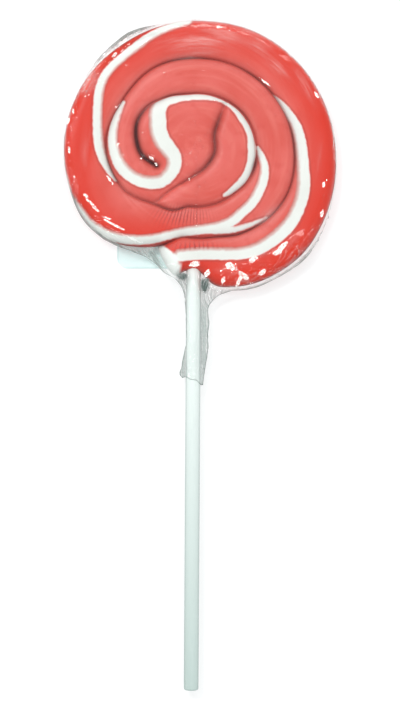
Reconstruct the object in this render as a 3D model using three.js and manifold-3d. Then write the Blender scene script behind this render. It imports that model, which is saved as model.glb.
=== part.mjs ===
// Swirl lollipop in a gathered clear film, lying on its back with the shown face up.
// Millimetres. +X to the right and +Y away from the stick's free end, +Z up.
// The origin ends at the middle of the whole part's box, on the surface it lies on.
import * as THREE from "three";
import { mergeVertices } from "three/addons/utils/BufferGeometryUtils.js";
import Module from "manifold-3d";

const wasm = await Module();
wasm.setup();

// Candy: one rope of hard sugar, coiled flat and pressed until its turns join
const CANDY_THICKNESS = 7.5;
const GROOVE_DEPTH = 1.15;
const GROOVE_SHOULDER = 3.6;
const RIM_ROUND = 3.2;
const BACK_OF_CANDY = 0.55;
const MID_HEIGHT = BACK_OF_CANDY + CANDY_THICKNESS / 2;

// The rope's outer edge, then the groove between its turns, as one spiral seen from above.
// Each pair is the angle turned in degrees and the distance from the swirl's middle.
const OUTER_END = -112;
const INNER_END = 563;
const SPIRAL_EDGE = [
  [-472, 29.3],
  [-467.2, 32.3],
  [-463.1, 34.6],
  [-459, 36],
  [-456, 34.2],
  [-450.5, 33.8],
  [-447, 35.2],
  [-444, 37.6],
  [-440, 39.1],
  [-420, 41.2],
  [-405, 41.6],
  [-390, 40.8],
  [-360, 38.9],
  [-330, 37.7],
  [-300, 36.9],
  [-270, 36.1],
  [-240, 36.1],
  [-210, 36.9],
  [-180, 37.3],
  [-150, 37],
  [-138, 36.2],
  [-131, 34.8],
  [-124, 32.7],
  [-112, 29.3],
  [-98, 24.9],
  [-80, 25.1],
  [-62, 26.7],
  [-28, 28.2],
  [4, 27],
  [37, 26],
  [88, 25.3],
  [115, 25.6],
  [147, 24.8],
  [174, 25.5],
  [207, 23.6],
  [233, 19.4],
  [248, 18.5],
  [263, 16.2],
  [307, 16.2],
  [330, 16.8],
  [389, 16.3],
  [430, 15.6],
  [456, 15.5],
  [479, 16.7],
  [511, 18.8],
  [525, 17.4],
  [545, 15.8],
  [563, 12],
];

// The fold where the rope's inner end turns back on itself, from the swirl's middle
const FOLD_GROOVE = [
  [-11.5, -14.9],
  [-7.3, -11.5],
  [-1.4, -7.9],
  [2.5, -5],
  [4.8, -1.4],
  [5, 4.5],
  [6.3, 8.5],
  [8.6, 14],
];
const CORE_MIDDLE = new THREE.Vector2(-2.2, -5);

// Where the turns stand apart: the spiral groove past this angle, and the fold's upper half
const OPEN_FROM = 490;
const OPEN_HALF_WIDTH = 0.6;
const OPEN_FOLD_SHARE = 0.5;

// How finely the candy is divided: along the rope, across it, and inward over the core
const STEP_DEGREES = 5;
const STEPS_ACROSS = 8;
const CORE_RINGS = 9;
const FOLD_STEPS = 26;
const FOLD_OFFSETS = [0, 0.12, 0.45, 1, 1.8, 2.8, 4];
const STEPS_PER_TURN = 360 / STEP_DEGREES;
const STEPS_ALONG = (INNER_END - OUTER_END) / STEP_DEGREES;

// Stick: rolled paper, its top end set in the candy
const STICK_LENGTH = 152.4;
const STICK_RADIUS = 2.05;
const STICK_END_ROUND = 0.6;
const STICK_SIDES = 32;
const STICK_TOP = new THREE.Vector2(-0.7, 1);
const STICK_LEAN_DEGREES = -0.35;

// Film: the gathered mouth of the clear wrap, from the candy's edge down round the stick.
// Each row is the height along the stick, its left and right edge and its half thickness.
const FILM_STATIONS = [
  [-24, -21, 19, 2.3],
  [-27.5, -21.6, 20, 2.4],
  [-29.7, -16, 20, 2.7],
  [-33.1, -10.3, 19, 3],
  [-36.7, -6.3, 15.6, 3],
  [-38.8, -4.9, 12.6, 3],
  [-39.8, -4.4, 6, 2.95],
  [-42.9, -4.1, 3.8, 2.9],
  [-50.5, -4.05, 3.5, 2.85],
  [-56.5, -4.1, 3.1, 2.8],
  [-60, -4.5, 2.8, 2.8],
  [-65.5, -4.6, 2.3, 2.75],
];
const FILM_SIDES = 36;

// Label: a plain panel with rounded corners under the candy's back
const LABEL_WIDTH = 42.6;
const LABEL_HEIGHT = 38;
const LABEL_THICKNESS = 0.25;
const LABEL_CORNER = 3;
const LABEL_EDGE = 0.9;
const LABEL_EDGE_LIFT = 0.05;
const LABEL_CENTRE = new THREE.Vector2(-1.2, -14.1);

// Gaps kept between neighbours
const GAP = 0.3;
const FILM_OFF_CANDY = 0.6;

const turn = THREE.MathUtils.degToRad;

// A smooth curve through the pairs that never swings past them
function smoothCurve(pairs) {
  const rise = pairs.slice(1).map(([x, y], i) => (y - pairs[i][1]) / (x - pairs[i][0]));
  const slope = pairs.map((_, i) => {
    const before = rise[i - 1] ?? rise[i];
    const after = rise[i] ?? before;
    return before * after > 0 ? (2 * before * after) / (before + after) : 0;
  });
  return (x) => {
    const next = pairs.findIndex((pair) => pair[0] >= x);
    const i = THREE.MathUtils.clamp(next < 0 ? pairs.length - 2 : next - 1, 0, pairs.length - 2);
    const span = pairs[i + 1][0] - pairs[i][0];
    const u = (x - pairs[i][0]) / span;
    const from = (1 + 2 * u) * (1 - u) ** 2 * pairs[i][1] + u * (1 - u) ** 2 * span * slope[i];
    const to = u ** 2 * (3 - 2 * u) * pairs[i + 1][1] + u ** 2 * (u - 1) * span * slope[i + 1];
    return from + to;
  };
}

const edgeRadius = smoothCurve(SPIRAL_EDGE);

function onCircle(degrees, radius) {
  return new THREE.Vector2(Math.cos(turn(degrees)), Math.sin(turn(degrees))).multiplyScalar(radius);
}

function alongSpiral(from, to, step) {
  const count = Math.round((to - from) / step);
  return Array.from({ length: count + 1 }, (_, i) => {
    const angle = from + ((to - from) * i) / count;
    return onCircle(angle, edgeRadius(angle));
  });
}

// Shortest distance from a point to a line of points
function distanceTo(line, point) {
  let least = Infinity;
  for (let i = 1; i < line.length; i += 1) {
    const along = line[i].clone().sub(line[i - 1]);
    const offset = point.clone().sub(line[i - 1]);
    const share = THREE.MathUtils.clamp(offset.dot(along) / along.lengthSq(), 0, 1);
    least = Math.min(least, offset.addScaledVector(along, -share).length());
  }
  return least;
}

const OUTLINE = alongSpiral(OUTER_END - 360, OUTER_END, 3);
const GROOVE = alongSpiral(OUTER_END, INNER_END, 3);
const OPEN_GROOVE = alongSpiral(OPEN_FROM, INNER_END, 3);

// Quarter of an ellipse: 0 at the edge, 1 once the distance reaches the radius
function shoulder(distance, radius) {
  const left = 1 - Math.min(distance / radius, 1);
  return Math.sqrt(1 - left ** 2);
}

// How far the face is sunk at a distance from a groove
function sunkBy(distance) {
  return GROOVE_DEPTH * (1 - shoulder(Math.max(0, distance), GROOVE_SHOULDER));
}

// Half the candy's thickness over a point, before the fold is cut
function halfThickness(point) {
  const toOpen = distanceTo(OPEN_GROOVE, point) - OPEN_HALF_WIDTH;
  const sunk = sunkBy(Math.min(distanceTo(GROOVE, point), toOpen));
  return (CANDY_THICKNESS / 2 - sunk) * shoulder(distanceTo(OUTLINE, point), RIM_ROUND);
}

// The candy as one closed mesh; grow makes it larger all round
function candyGeometry(grow) {
  const places = [];
  const faces = [];

  function addPair(point, half) {
    places.push(point.x, point.y, MID_HEIGHT + half);
    places.push(point.x, point.y, MID_HEIGHT - half);
    return [places.length / 3 - 2, places.length / 3 - 1];
  }

  function addRimPoint(point) {
    places.push(point.x, point.y, MID_HEIGHT);
    return [places.length / 3 - 1, places.length / 3 - 1];
  }

  // One triangle on the face and its twin on the back
  function addTriangle(a, b, c) {
    const corners = new Set([a[0], b[0], c[0]]);
    if (corners.size < 3) return;
    faces.push(a[0], b[0], c[0]);
    faces.push(a[1], c[1], b[1]);
  }

  function addQuad(a, b, c, d) {
    addTriangle(a, b, c);
    addTriangle(a, c, d);
  }

  // Rows cross the rope from its inner to its outer edge, and share edges turn by turn
  const start = addRimPoint(onCircle(OUTER_END, edgeRadius(OUTER_END) + grow));
  const rows = [Array(STEPS_ACROSS + 1).fill(start)];
  for (let i = 1; i <= STEPS_ALONG; i += 1) {
    const angle = OUTER_END + i * STEP_DEGREES;
    const inner = edgeRadius(angle);
    const onRim = i <= STEPS_PER_TURN;
    const outer = edgeRadius(angle - 360) + (onRim ? grow : 0);
    const row = [];
    for (let j = 0; j <= STEPS_ACROSS; j += 1) {
      const share = 0.5 - 0.5 * Math.cos((Math.PI * j) / STEPS_ACROSS);
      const point = onCircle(angle, inner + (outer - inner) * share);
      if (j === STEPS_ACROSS && i >= STEPS_PER_TURN) row.push(rows[i - STEPS_PER_TURN][0]);
      else if (j === STEPS_ACROSS) row.push(addRimPoint(point));
      else row.push(addPair(point, halfThickness(point) + grow));
    }
    rows.push(row);
  }
  for (let i = 1; i <= STEPS_ALONG; i += 1) {
    for (let j = 1; j <= STEPS_ACROSS; j += 1) {
      addQuad(rows[i - 1][j - 1], rows[i - 1][j], rows[i][j], rows[i][j - 1]);
    }
  }

  // The core inside the last turn closes ring by ring on its own middle
  const lastTurn = rows.slice(STEPS_ALONG - STEPS_PER_TURN, STEPS_ALONG).map((row) => row[0]);
  let ring = [...lastTurn, ...rows[STEPS_ALONG].slice(0, STEPS_ACROSS)];
  const edge = ring.map(([top]) => new THREE.Vector2(places[3 * top], places[3 * top + 1]));
  for (let k = 1; k < CORE_RINGS; k += 1) {
    const inner = edge.map((point) => {
      const place = point.clone().lerp(CORE_MIDDLE, k / CORE_RINGS);
      return addPair(place, halfThickness(place) + grow);
    });
    inner.forEach((_, j) => {
      const next = (j + 1) % inner.length;
      addQuad(ring[j], ring[next], inner[next], inner[j]);
    });
    ring = inner;
  }
  const middle = addPair(CORE_MIDDLE, halfThickness(CORE_MIDDLE) + grow);
  ring.forEach((corner, j) => addTriangle(corner, ring[(j + 1) % ring.length], middle));

  const geometry = new THREE.BufferGeometry();
  geometry.setAttribute("position", new THREE.Float32BufferAttribute(places, 3));
  geometry.setIndex(faces);
  return geometry;
}

// Joins equal loops of points into one body. A fan from each end loop's first point caps it.
function loftGeometry(loops) {
  const size = loops[0].length;
  const last = (loops.length - 1) * size;
  const faces = [];
  for (let j = 0; j < size; j += 1) {
    const next = (j + 1) % size;
    for (let base = 0; base < last; base += size) {
      faces.push(base + j, base + next, base + size + next);
      faces.push(base + j, base + size + next, base + size + j);
    }
    if (j > 0 && next > 0) {
      faces.push(0, next, j);
      faces.push(last, last + j, last + next);
    }
  }
  const geometry = new THREE.BufferGeometry();
  const places = loops.flat().flatMap((point) => point.toArray());
  geometry.setAttribute("position", new THREE.Float32BufferAttribute(places, 3));
  geometry.setIndex(faces);
  return geometry;
}

// What the fold takes out of the candy's upper side
function foldGeometry() {
  const path = new THREE.SplineCurve(FOLD_GROOVE.map(([x, y]) => new THREE.Vector2(x, y)));
  const crown = MID_HEIGHT + CANDY_THICKNESS / 2;
  const loops = Array.from({ length: FOLD_STEPS + 1 }, (_, i) => {
    const share = i / FOLD_STEPS;
    const point = path.getPointAt(share);
    const along = path.getTangentAt(share);
    const open = OPEN_HALF_WIDTH * THREE.MathUtils.smoothstep(share, -0.1, OPEN_FOLD_SHARE);
    const right = FOLD_OFFSETS.map((offset) => [open + offset, crown + 0.03 - sunkBy(offset)]);
    const left = right.map(([offset, z]) => [-offset, z]);
    const above = [0, right.at(-1)[0], left.at(-1)[0]].map((offset) => [offset, crown + 1]);
    return [above[0], above[1], ...right.reverse(), ...left, above[2]].map(
      ([offset, z]) => new THREE.Vector3(point.x + along.y * offset, point.y - along.x * offset, z),
    );
  });
  return loftGeometry(loops);
}

// A rod round the stick's own line, which runs down from the top end
function rodGeometry(radius, from, to, round) {
  const profile = [
    new THREE.Vector2(0, from),
    new THREE.Vector2(radius - round, from),
    new THREE.Vector2(radius - 0.3 * round, from - 0.3 * round),
    new THREE.Vector2(radius, from - round),
    new THREE.Vector2(radius, to + round),
    new THREE.Vector2(radius - 0.3 * round, to + 0.3 * round),
    new THREE.Vector2(radius - round, to),
    new THREE.Vector2(0, to),
  ].reverse();
  const rod = new THREE.LatheGeometry(profile, STICK_SIDES);
  rod.rotateZ(turn(STICK_LEAN_DEGREES));
  rod.translate(STICK_TOP.x, STICK_TOP.y, MID_HEIGHT);
  return rod;
}

// The film's outer surface: an upright oval at each station, closed at both ends
function filmGeometry() {
  const loops = FILM_STATIONS.map(([y, left, right, half]) =>
    Array.from({ length: FILM_SIDES }, (_, j) => {
      const angle = (2 * Math.PI * j) / FILM_SIDES;
      const x = (left + right) / 2 + ((right - left) / 2) * Math.cos(angle);
      return new THREE.Vector3(x, y, MID_HEIGHT + half * Math.sin(angle));
    }),
  );
  return loftGeometry(loops);
}

function solid(geometry) {
  const bare = geometry.clone();
  bare.deleteAttribute("normal");
  bare.deleteAttribute("uv");
  const merged = mergeVertices(bare, 1e-4);
  return new wasm.Manifold(
    new wasm.Mesh({
      numProp: 3,
      vertProperties: new Float32Array(merged.attributes.position.array),
      triVerts: new Uint32Array(merged.index.array),
    }),
  );
}

function geometryOf(body) {
  const mesh = body.getMesh();
  const geometry = new THREE.BufferGeometry();
  geometry.setAttribute("position", new THREE.BufferAttribute(mesh.vertProperties, 3));
  geometry.setIndex(new THREE.BufferAttribute(mesh.triVerts, 1));
  return geometry;
}

function largest(body) {
  return body.decompose().sort((a, b) => b.volume() - a.volume())[0];
}

function makeCandy() {
  const socket = solid(rodGeometry(STICK_RADIUS + GAP, GAP, -STICK_LENGTH, 0.2));
  const fold = foldGeometry();
  const foldBelow = fold.clone().scale(1, 1, -1).translate(0, 0, 2 * MID_HEIGHT);
  foldBelow.setIndex([...fold.index.array].reverse());
  const whole = solid(candyGeometry(0)).subtract(solid(fold)).subtract(solid(foldBelow));
  return geometryOf(largest(whole.subtract(socket)));
}

function makeFilm() {
  const bore = solid(rodGeometry(STICK_RADIUS + GAP, GAP, -STICK_LENGTH, 0.2));
  const around = solid(candyGeometry(FILM_OFF_CANDY));
  return geometryOf(largest(solid(filmGeometry()).subtract(around).subtract(bore)));
}

// A thin panel with round corners. Its flat part rests, and its edge stands a little off the table.
function makeLabel() {
  const x = LABEL_WIDTH / 2;
  const y = LABEL_HEIGHT / 2;
  const outline = new THREE.Shape();
  outline.absarc(x - LABEL_CORNER, y - LABEL_CORNER, LABEL_CORNER, 0, turn(90));
  outline.absarc(LABEL_CORNER - x, y - LABEL_CORNER, LABEL_CORNER, turn(90), turn(180));
  outline.absarc(LABEL_CORNER - x, LABEL_CORNER - y, LABEL_CORNER, turn(180), turn(270));
  outline.absarc(x - LABEL_CORNER, LABEL_CORNER - y, LABEL_CORNER, turn(270), turn(360));
  const options = { depth: LABEL_THICKNESS - LABEL_EDGE_LIFT, bevelEnabled: false, curveSegments: 6 };
  const panel = new THREE.ExtrudeGeometry(outline, options);
  panel.translate(LABEL_CENTRE.x, LABEL_CENTRE.y, LABEL_EDGE_LIFT);
  const depth = LABEL_THICKNESS / 2;
  const flat = new THREE.BoxGeometry(LABEL_WIDTH - 2 * LABEL_EDGE, LABEL_HEIGHT - 2 * LABEL_EDGE, depth);
  flat.translate(LABEL_CENTRE.x, LABEL_CENTRE.y, depth / 2);
  return geometryOf(solid(panel).add(solid(flat)));
}

function piece(name, geometry, colour, roughness) {
  const material = new THREE.MeshStandardMaterial({ color: colour, roughness, metalness: 0 });
  const mesh = new THREE.Mesh(geometry, material);
  mesh.name = name;
  return mesh;
}

const lollipop = new THREE.Group();
lollipop.add(piece("candy", makeCandy(), 0xdc5a50, 0.25));
lollipop.add(piece("stick", rodGeometry(STICK_RADIUS, 0, -STICK_LENGTH, STICK_END_ROUND), 0xe6f2ec, 0.6));
lollipop.add(piece("film", makeFilm(), 0xc8d6d1, 0.1));
lollipop.add(piece("label", makeLabel(), 0xeef8f5, 0.5));

const box = new THREE.Box3().setFromObject(lollipop);
lollipop.position.set(-(box.min.x + box.max.x) / 2, -(box.min.y + box.max.y) / 2, -box.min.z);

export default lollipop;
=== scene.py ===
import math

import bmesh
import bpy
import numpy as np
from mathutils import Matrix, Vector


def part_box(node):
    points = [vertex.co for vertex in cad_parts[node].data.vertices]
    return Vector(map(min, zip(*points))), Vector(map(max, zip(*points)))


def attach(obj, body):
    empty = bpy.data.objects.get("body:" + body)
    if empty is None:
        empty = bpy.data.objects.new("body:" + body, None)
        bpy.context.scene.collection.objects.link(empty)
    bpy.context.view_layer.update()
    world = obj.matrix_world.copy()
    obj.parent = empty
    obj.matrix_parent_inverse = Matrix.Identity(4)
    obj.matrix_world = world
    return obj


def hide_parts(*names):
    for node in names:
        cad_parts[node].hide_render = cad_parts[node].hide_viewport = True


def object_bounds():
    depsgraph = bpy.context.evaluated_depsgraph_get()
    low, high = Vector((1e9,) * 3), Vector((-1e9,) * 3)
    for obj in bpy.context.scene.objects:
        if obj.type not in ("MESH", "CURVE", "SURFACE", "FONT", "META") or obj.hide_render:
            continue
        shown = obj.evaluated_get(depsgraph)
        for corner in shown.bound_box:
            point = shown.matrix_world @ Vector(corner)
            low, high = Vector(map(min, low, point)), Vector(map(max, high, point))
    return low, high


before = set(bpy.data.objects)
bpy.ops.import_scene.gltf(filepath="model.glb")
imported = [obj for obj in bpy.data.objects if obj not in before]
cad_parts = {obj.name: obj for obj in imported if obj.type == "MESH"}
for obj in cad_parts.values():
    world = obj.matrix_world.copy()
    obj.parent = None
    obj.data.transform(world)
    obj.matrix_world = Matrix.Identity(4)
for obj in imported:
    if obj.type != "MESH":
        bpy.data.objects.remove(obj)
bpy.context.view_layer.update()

# Shapes are worked out in millimetres from the swirl's middle, and moved onto the frame last
MM = 0.001

# Candy: the rope's outer edge, then the groove between its turns, as one spiral.
# Each pair is the angle turned in degrees and the distance from the swirl's middle.
OUTER_END = -112
INNER_END = 563
SPIRAL_EDGE = (
    (-472, 29.3), (-467.2, 32.3), (-463.1, 34.6), (-459, 36), (-456, 34.2), (-450.5, 33.8),
    (-447, 35.2), (-444, 37.6), (-440, 39.1), (-420, 41.2), (-405, 41.6), (-390, 40.8),
    (-360, 38.9), (-330, 37.7), (-300, 36.9), (-270, 36.1), (-240, 36.1), (-210, 36.9),
    (-180, 37.3), (-150, 37), (-138, 36.2), (-131, 34.8), (-124, 32.7), (-112, 29.3),
    (-98, 24.9), (-80, 25.1), (-62, 26.7), (-28, 28.2), (4, 27), (37, 26), (88, 25.3),
    (115, 25.6), (147, 24.8), (174, 25.5), (207, 23.6), (233, 19.4), (248, 18.5), (263, 16.2),
    (307, 16.2), (330, 16.8), (389, 16.3), (430, 15.6), (456, 15.5), (479, 16.7), (511, 18.8),
    (525, 17.4), (545, 15.8), (563, 12),
)
FOLD_GROOVE = (
    (-11.5, -14.9), (-7.3, -11.5), (-1.4, -7.9), (2.5, -5), (4.8, -1.4), (5, 4.5), (6.3, 8.5),
    (8.2, 13.4),
)
CORE_MIDDLE = np.array((-2.2, -5.0))
CANDY_THICKNESS = 7.5
GROOVE_DEPTH = 1.15
GROOVE_SHOULDER = 3.6
CREASE_DEPTH = 0.45
CREASE_WIDTH = 0.3
RIM_ROUND = 3.2
OPEN_TURN = ((480, 16.8), (500, 18.1), (515, 18.3), (530, 17.2), (546, 15.5), (563, 12.2))
OPEN_WIDTH = 1.0
OPEN_DEPTH = 0.75
UNEVENNESS = 0.16
STEP_DEGREES = 1.5
STEPS_ACROSS = 24
CORE_RINGS = 44
MIDDLE_TURN_RADIUS = 24  # makes an angle round the swirl a length along the rope

# White stripes on the rope: where each runs, with half its width, and the part of the rope
# it lies on as a first and last angle
STRIPES = (
    ((-98, 40), (
        (-4.7, -29.95, 1.5), (0.6, -29.45, 1.5), (7.7, -29.5, 1.5), (12.8, -29.3, 1.5),
        (17.1, -28.1, 1.6), (20.9, -25.8, 1.65), (23.9, -23.3, 1.7), (26.4, -20.4, 1.7),
        (28.1, -17.2, 1.65), (29.4, -13.6, 1.6), (29.9, -10.1, 1.6), (29.8, -6.5, 1.5),
        (29.4, -1.9, 1.45), (28.9, 2.2, 1.4), (28.1, 5.2, 1.3), (26.9, 7.8, 1.15),
        (25.3, 10.1, 1), (23.5, 12.4, 0.8), (22, 13.9, 0.55), (20.5, 15.2, 0.2),
    )),
    ((88, 206), (
        (-2.4, 35.6, 0.9), (-7.5, 34, 1), (-12.6, 31.7, 1.05), (-16.7, 28.7, 1.1),
        (-20.3, 25.9, 1.05), (-23.4, 23.1, 1.05), (-25.9, 20, 1.1), (-27.2, 16.4, 1.15),
        (-27.7, 12.4, 1.15), (-27.8, 8.3, 1.15), (-27.7, 4.2, 1.2), (-27.2, 0.1, 1.2),
        (-25.9, -3.4, 1.1), (-24.1, -6.5, 0.9), (-22.6, -8.6, 0.5),
    )),
    ((200, 364), (
        (-34.8, -14.7, 0.9), (-32.5, -17.7, 1.1), (-30.5, -20.5, 1.2), (-27.4, -22.8, 1.2),
        (-22.8, -24.8, 1.2), (-17.7, -25.5, 1.15), (-12.6, -25.3, 1.15), (-7.5, -24.1, 1.1),
        (-2.4, -23.1, 1.15), (2.7, -22.5, 1.2), (6.7, -21.8, 1.3), (9.8, -20.3, 1.3),
        (12.8, -17.7, 1.25), (15.4, -15.2, 1.25), (17.4, -11.9, 1.25), (18.7, -8, 1.2),
        (18.9, -5, 1), (17.9, -1.9, 0.8), (16.9, 0.4, 0.3),
    )),
    ((262, 320), (
        (2.2, -23.5, 0.2), (6.2, -23.1, 0.65), (10.1, -22.6, 0.75), (13.7, -21.7, 0.65),
        (16.5, -20.5, 0.45), (19.6, -19.1, 0.1),
    )),
    ((508, 700), (
        (-20.5, 12.9, 0.5), (-22.3, 9.3, 0.9), (-23.4, 5.2, 1.1), (-23.6, 2.2, 1.15),
        (-22.9, -1.4, 1.35), (-21, -5.4, 1.5), (-17.9, -8.1, 1.5), (-13.8, -9.6, 1.55),
        (-9.8, -9.2, 1.6), (-7.4, -7.1, 1.7), (-6.2, -4.6, 1.8), (-6.3, -2.4, 1.9),
        (-7.6, -0.3, 2), (-9.4, 2.1, 2.1), (-10.5, 4.8, 2.15), (-10.7, 7.8, 2.15),
        (-10.7, 10.4, 2.1), (-9.6, 12.8, 1.9),
        (-6.8, 14.2, 1.7), (-2.4, 14.8, 1.4), (2.7, 14.8, 1.25), (6.7, 14, 1.05),
        (10.1, 11.6, 0.85), (12.8, 7.8, 0.85), (14.4, 5.2, 0.9), (15.1, 2.2, 1),
        (15.3, -1.1, 1.1), (15.1, -4.2, 1.2), (13.8, -7.6, 1.2), (11.8, -10.1, 1.1),
        (9.8, -11.8, 0.9), (7.6, -13, 0.4),
    )),
)

# Stripes that start past this angle lie in the core. A stripe's outer edge is sharp, and its
# inner edge is at most this soft.
CORE_START = 500
SHARP_EDGE = 0.28
SOFTEST_EDGE = 0.85

# On the back the stripes come round this much further on, in degrees, and a little further in
BACK_TURN = 64
CORE_BACK_TURN = 180
BACK_SHARE = 0.96

# The white end face of the rope lies left of this line, up to this angle
END_FACE = ((-9.8, -26.8), (-7.3, -28.5), (-5.4, -30.1), (-4.7, -32.5), (-4.5, -34.3), (-4.9, -37))
END_FACE_UNTIL = -84

# A patch is given as left to right, up, how far it reaches along and across, the turn of its
# long side in degrees, and strength. Some have no turn or no strength.

# Fine marks across the rope
RIBBED = ((-4.2, -18.7, 7, 2.8), (-0.3, -27.4, 5.8, 1.3))

# Painted shade in the corners where the rope's turns part
PAINTED_CORNER_SHADE = ((16.2, -4.6, 3.2, 0.8, 74, 0.55), (-9.8, -26.9, 2.4, 0.9, 12, 0.35))

# Where the sugar is a deeper red
DEEPER_RED = (-32, 3, 9, 4, 85)

# Stick
STICK_LENGTH = 152.4
STICK_RADIUS = 2.05
STICK_END_ROUND = 0.6
STICK_TOP = np.array((-0.7, 1.0))
STICK_LEAN = math.radians(-0.35)

# Film: its edge round the candy, as angle and distance from the swirl's middle, then its
# left and right edges down to the end of the sleeve
FILM_ROUND = (
    (-76, 40.7), (-68, 41.9), (-60, 42.3), (-45, 42.9), (-30, 41.5), (-15, 40.1), (0, 39.05),
    (15, 38.45), (30, 37.85), (45, 37.45), (60, 37.1), (75, 36.65), (90, 36.25), (105, 36.6),
    (120, 37.9), (135, 37.6), (150, 37.15), (165, 37.25), (180, 37.45), (195, 37.4), (210, 37.5),
    (225, 36.1),
)
FILM_LEFT = (
    (-22.7, -26.9), (-17.2, -28.9), (-13.5, -30.5), (-10.7, -32.8), (-8.9, -34.6), (-6, -36.3),
    (-4.2, -38.6), (-3.5, -40.7), (-3.2, -43.7), (-3.05, -50), (-3.05, -54.4), (-3.4, -56),
    (-3.9, -58.3), (-4.3, -61.2), (-4.7, -64.9), (-4.1, -66),
)
FILM_RIGHT = (
    (6.5, -40.6), (4.7, -42), (3.6, -43.4), (3.1, -44.4), (3.1, -46.2), (3.4, -48.3),
    (3.1, -51.3), (3.1, -55.9), (2.7, -58.9), (2.1, -62.9), (1.7, -66),
)
SLEEVE_END = ((-5, -64.1), (-3, -63.7), (-1.8, -64.4), (-0.2, -64.6), (1.2, -66), (2.4, -65.8))
FILM_OVER_CANDY = 0.12
FILM_OVER_STICK = 0.1
THINNEST_FILM = 0.02
FILM_ROWS = 270
FILM_COLUMNS = 130
FILM_RADIUS = 38  # makes an angle round the film a length along its edge

# The film's edge is ragged, and it is drawn together towards its throat beside the stick
RAGGED_KNOTS = 120
RAGGED_REACH = 0.2
THROAT = np.array((-0.6, -45.0))
NECK = (-45, -38)
PLEAT_HEIGHT = 0.2
CRUMPLE_HEIGHT = 0.07

# Places where the film is pinched: left to right, up, radius and strength
PINCHES = ((-13.6, -3.6, 1.3, 0.6), (-31, 18, 4, 0.45))

# Where soft reflections are painted on the film, along the rope's crown
PAINTED_SHEENS = (
    (0, 29.6, 13, 2.4, 2, 0.7), (6.7, 33.4, 9, 1.6, -8, 0.8), (17.5, 28.6, 4.5, 2.2, -28, 0.5),
    (30, 17.5, 5.5, 1.3, -60, 0.6), (22.5, 22.6, 4.5, 1.8, -42, 0.6), (19, -20, 4, 0.9, 22, 0.5),
    (-29.8, 18.4, 4.2, 1.7, 55, 0.9), (-31, 0, 7, 1.3, 84, 0.25), (21, -17.5, 5, 1, 32, 0.45),
    (27, -26, 5, 1.2, 46, 0.4), (8.5, -34.6, 4, 1.4, -12, 0.35),
    (-1, 25.8, 7, 1, 8, 0.35), (34, -4, 6, 1.2, 86, 0.25),
)

# Painted shade in the film's hollows beside the stick
SHADED_POCKETS = ((-4.1, -35.5, 2, 1.3), (2.3, -37.9, 1.7, 2.6))

# Small places where a small highlight is painted on the film
PAINTED_GLINTS = (
    (-0.6, -32.2, 2, 1.1, 10), (2.8, -34.8, 1.6, 0.9, 60), (9.3, -32.8, 2.3, 1.3, -30),
    (13.2, -35.6, 2.1, 1.1, -35), (15.7, -30.8, 2, 0.9, 35), (18.2, -34.5, 1.8, 0.9, 40),
    (22.4, -28.9, 2.1, 0.9, 30), (24.1, -26.9, 1.8, 0.8, 40), (11.5, -37.3, 1.6, 0.7, 70),
    (7.3, -36.7, 1.5, 0.7, 75), (34.8, -18.2, 1.6, 0.6, 70), (33.4, 14.9, 1.4, 0.6, -60),
    (35.3, -10.1, 1.2, 0.5, 80), (19.9, 31.7, 1.3, 0.5, -30), (6.2, 33.8, 1.1, 0.5, -10),
    (-35.9, 7.9, 1.3, 0.5, 80), (-35.6, -0.3, 1.3, 0.5, 95), (-22.9, 26.1, 1.3, 0.6, 40),
    (-34.5, 10.4, 1, 0.5, 75), (-29.7, -15, 2.2, 0.4, -40), (-28.1, -17, 1.8, 0.35, -36),
    (-25.2, -19.3, 1.8, 0.4, -18), (-24, -20.8, 3, 0.3, -28), (-22.2, -21.7, 3, 0.3, -26),
    (-30.8, -13.2, 1, 0.5, -40), (-20.8, 29.6, 2, 0.5, 38),
    (-12.8, -2.6, 1.3, 0.5, -40), (-11.2, -4.4, 0.7, 0.5, 15), (18.9, 18.5, 2.6, 0.38, -38),
    (-24.4, -8.6, 2.6, 0.38, -55),
)

# Label panel on the back
LABEL_CORNER = 3.0
LABEL_BORDER = 0.7
LABEL_BEVEL = 0.06

# Studio, in metres: each light's name, size, place and power, and what they all face
LIGHTS = (
    ("top_softbox", (0.5, 0.3), (0.02, 0.55, 0.6), 1.95),
    ("left_strip", (0.06, 0.4), (-0.5, 0.1, 0.45), 0.35),
    ("small_key", (0.16, 0.06), (-0.25, 0.3, 0.7), 1.6),
    ("right_window", (0.1, 0.1), (0.4, -0.25, 0.5), 0.6),
)
LIT_PLACE = (0, 0.03, 0)
ROOM_TINT = (0.96, 0.98, 1, 1)
ROOM_LIGHT = 0.57
FLOOR_SIZE = 6
FLOOR_GAP = 0.0002

# Camera: the photo's height and the lollipop's height in it, in pixels
PHOTO_HEIGHT = 711
LOLLIPOP_HEIGHT = 669
LENS = 100
SENSOR = 36


def smooth_curve(pairs):
    """A curve through (place, value) pairs that never swings past them."""
    x, y = np.array(pairs, float).T
    rise = np.diff(y) / np.diff(x)
    before = np.concatenate((rise[:1], rise))
    after = np.concatenate((rise, rise[-1:]))
    agree = before * after > 0
    total = np.where(agree, before + after, 1.0)
    slope = np.where(agree, 2 * before * after / total, 0.0)

    def at(value):
        i = np.clip(np.searchsorted(x, value) - 1, 0, len(x) - 2)
        span = x[i + 1] - x[i]
        u = (value - x[i]) / span
        start = (1 + 2 * u) * (1 - u) ** 2 * y[i] + u * (1 - u) ** 2 * span * slope[i]
        end = u**2 * (3 - 2 * u) * y[i + 1] + u**2 * (u - 1) * span * slope[i + 1]
        return start + end

    return at


def on_circle(degrees, radius):
    angle = np.radians(degrees)
    return np.stack((radius * np.cos(angle), radius * np.sin(angle)), axis=-1)


def smooth_step(low, high, value):
    share = np.clip((value - low) / (high - low), 0, 1)
    return share * share * (3 - 2 * share)


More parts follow.
